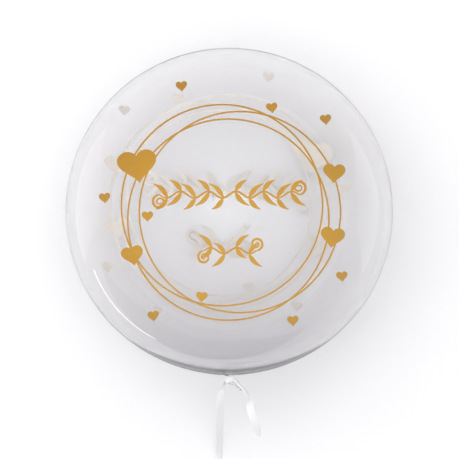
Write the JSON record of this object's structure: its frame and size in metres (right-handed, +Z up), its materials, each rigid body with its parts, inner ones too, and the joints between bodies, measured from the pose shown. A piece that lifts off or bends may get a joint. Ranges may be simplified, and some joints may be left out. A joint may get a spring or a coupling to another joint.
{
  "type": "clear bubble balloon",
  "caption": "Clear round film balloon with a gold ring-and-heart print, tied at the neck with white ribbon, lying on its back.",
  "frame": {"origin": "centre of the small flat spot on the balloon's back, on the surface that it lies on", "axes": "+Z up, the way the printed front faces; -Y from the balloon's middle towards its neck; +X to the right as the print is seen upright"},
  "size_m": [0.45, 0.7202, 0.448],
  "materials": {
    "clear_film": "clear glossy stretched plastic film, about 0.05 mm thick",
    "gold_ink": "opaque gold printing ink on the film",
    "white_ribbon": "smooth white satin ribbon, slightly see-through"
  },
  "bodies": {
    "root": {"balloon_envelope": "clear_film", "ribbon_knot": "white_ribbon", "ribbon_long_strand": "white_ribbon", "ribbon_short_tail": "white_ribbon", "ribbon_coil": "white_ribbon"}
  },
  "joints": []
}
